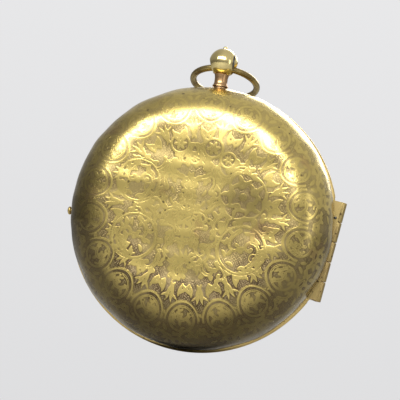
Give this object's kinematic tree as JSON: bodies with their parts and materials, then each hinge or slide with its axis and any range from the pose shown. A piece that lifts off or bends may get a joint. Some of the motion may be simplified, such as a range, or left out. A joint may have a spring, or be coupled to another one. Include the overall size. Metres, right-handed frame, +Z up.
{
  "type": "pocket watch",
  "caption": "Pair-cased verge pocket watch: engraved round outer case with side hinge and push button, plain inner case with ball pendant, bow and domed glass, full fusee movement.",
  "frame": {"origin": "centre of the flat back of the outer case, on the watch's axis", "axes": "+Z up to the pendant, +Y toward the dial and glass, -Y out of the back, +X toward the case hinge"},
  "size_m": [0.0568, 0.0216, 0.0634],
  "materials": {
    "gilt_case": "worn fire gilding over brass",
    "rose_gilt": "worn gilding with the copper showing",
    "gilt_movement": "matt fire gilding",
    "steel": "bright",
    "blued_steel": "blued",
    "silvered": "silvered",
    "enamel": "white enamel",
    "glass": "clear"
  },
  "bodies": {
    "cases_and_movement": {"outer_case_back": "gilt_case", "outer_hinge_pin": "rose_gilt", "inner_case_body": "gilt_movement", "inner_hinge_pin": "rose_gilt", "pendant": "rose_gilt", "pillar_plate": "gilt_movement", "top_plate": "gilt_movement", "pillar_1": "gilt_movement", "pillar_2": "gilt_movement", "pillar_3": "gilt_movement", "pillar_4": "gilt_movement", "potence": "gilt_movement", "counter_potence": "gilt_movement", "balance_cock": "gilt_movement", "cock_screw": "blued_steel", "spring_stud": "gilt_movement", "balance_spring": "blued_steel", "barrel_arbor": "steel", "fusee_chain": "steel", "slide_plate": "gilt_movement", "dial": "enamel"},
    "outer_bezel": {"outer_case_bezel": "gilt_case"},
    "inner_bezel": {"inner_case_bezel": "gilt_movement", "crystal": "glass"},
    "button": {"push_button": "gilt_case"},
    "catch": {"case_catch": "steel"},
    "bow_ring": {"bow": "gilt_case"},
    "crown": {"crown_wheel": "gilt_movement", "crown_arbor": "steel"},
    "contrate": {"contrate_wheel": "gilt_movement", "contrate_arbor": "steel"},
    "third": {"third_wheel": "gilt_movement", "third_arbor": "steel"},
    "centre": {"centre_wheel": "gilt_movement", "centre_arbor": "steel"},
    "fusee_and_great_wheel": {"fusee": "gilt_movement", "great_wheel": "gilt_movement", "fusee_arbor": "steel"},
    "barrel_drum": {"barrel": "gilt_movement", "barrel_cover": "gilt_movement", "mainspring": "blued_steel"},
    "balance": {"balance_wheel": "gilt_movement", "verge_staff": "steel"},
    "regulator": {"regulator_disc": "silvered"},
    "minute": {"minute_hand": "blued_steel", "cannon_pinion": "steel"},
    "minute_work": {"minute_wheel": "gilt_movement"},
    "hour": {"hour_hand": "blued_steel", "hour_wheel": "gilt_movement"}
  },
  "joints": [
    {"name": "outer_bezel_hinge", "type": "hinge", "parent": "cases_and_movement", "child": "outer_bezel", "pos_m": [0.02667, 0.0105, -0.00351], "axis": [-0.1305, 0, -0.9914], "range_deg": [0, 115]},
    {"name": "inner_bezel_hinge", "type": "hinge", "parent": "cases_and_movement", "child": "inner_bezel", "pos_m": [0.02459, 0.0131, -0.00324], "axis": [-0.1305, 0, -0.9914], "range_deg": [0, 92]},
    {"name": "button_push", "type": "slide", "parent": "cases_and_movement", "child": "button", "axis": [0.9976, 0, 0.0698], "range_m": [0, 0.0004], "stiffness_N_per_m": 60, "springref_m": -0.0002},
    {"name": "catch_slide", "type": "slide", "parent": "cases_and_movement", "child": "catch", "axis": [0.9976, 0, 0.0698], "range_m": [0, 0.0004]},
    {"name": "bow_swing", "type": "hinge", "parent": "cases_and_movement", "child": "bow_ring", "pos_m": [0, 0.008, 0.0313], "axis": [1, 0, 0], "range_deg": [-17, 245]},
    {"name": "crown_spin", "type": "hinge", "parent": "cases_and_movement", "child": "crown", "pos_m": [-0.0009, 0.0084, 0.009], "axis": [1, 0, 0], "continuous": true},
    {"name": "contrate_spin", "type": "hinge", "parent": "cases_and_movement", "child": "contrate", "pos_m": [-0.00901, 0.0084, 0.00893], "axis": [0, -1, 0], "continuous": true},
    {"name": "third_spin", "type": "hinge", "parent": "cases_and_movement", "child": "third", "pos_m": [-0.00733, 0.0084, 0.00267], "axis": [0, -1, 0], "continuous": true},
    {"name": "centre_spin", "type": "hinge", "parent": "cases_and_movement", "child": "centre", "pos_m": [0, 0.0084, 0], "axis": [0, -1, 0], "continuous": true},
    {"name": "fusee_spin", "type": "hinge", "parent": "cases_and_movement", "child": "fusee_and_great_wheel", "pos_m": [0.0073, 0.0084, 0.0042], "axis": [0, -1, 0], "continuous": true},
    {"name": "barrel_spin", "type": "hinge", "parent": "cases_and_movement", "child": "barrel_drum", "pos_m": [-0.0022, 0.0084, -0.0098], "axis": [0, -1, 0], "continuous": true},
    {"name": "balance_swing", "type": "hinge", "parent": "cases_and_movement", "child": "balance", "pos_m": [-0.0001, 0.0033, 0.009], "axis": [0, -1, 0], "range_deg": [-55, 55], "stiffness_Nm_per_rad": 0.0000002},
    {"name": "regulator_turn", "type": "hinge", "parent": "cases_and_movement", "child": "regulator", "pos_m": [-0.0105, 0.0042, -0.0065], "axis": [0, -1, 0], "range_deg": [-150, 150]},
    {"name": "hand_setting", "type": "hinge", "parent": "cases_and_movement", "child": "minute", "pos_m": [0, 0.0159, 0], "axis": [0, -1, 0], "continuous": true},
    {"name": "minute_wheel_spin", "type": "hinge", "parent": "cases_and_movement", "child": "minute_work", "pos_m": [0.00413, 0.0131, -0.0015], "axis": [0, -1, 0], "continuous": true},
    {"name": "hour_spin", "type": "hinge", "parent": "cases_and_movement", "child": "hour", "pos_m": [0, 0.0155, 0], "axis": [0, -1, 0], "continuous": true}
  ],
  "couplings": [
    {"joint": "inner_bezel_hinge", "follows": "outer_bezel_hinge", "ratio": 0.8},
    {"joint": "catch_slide", "follows": "button_push", "ratio": 1},
    {"joint": "contrate_spin", "follows": "crown_spin", "ratio": 0.125},
    {"joint": "third_spin", "follows": "crown_spin", "ratio": -0.015625},
    {"joint": "centre_spin", "follows": "crown_spin", "ratio": 0.0017361},
    {"joint": "fusee_spin", "follows": "crown_spin", "ratio": -0.00043403},
    {"joint": "barrel_spin", "follows": "crown_spin", "ratio": -0.00026042},
    {"joint": "minute_wheel_spin", "follows": "hand_setting", "ratio": -0.33333},
    {"joint": "hour_spin", "follows": "hand_setting", "ratio": 0.083333}
  ]
}
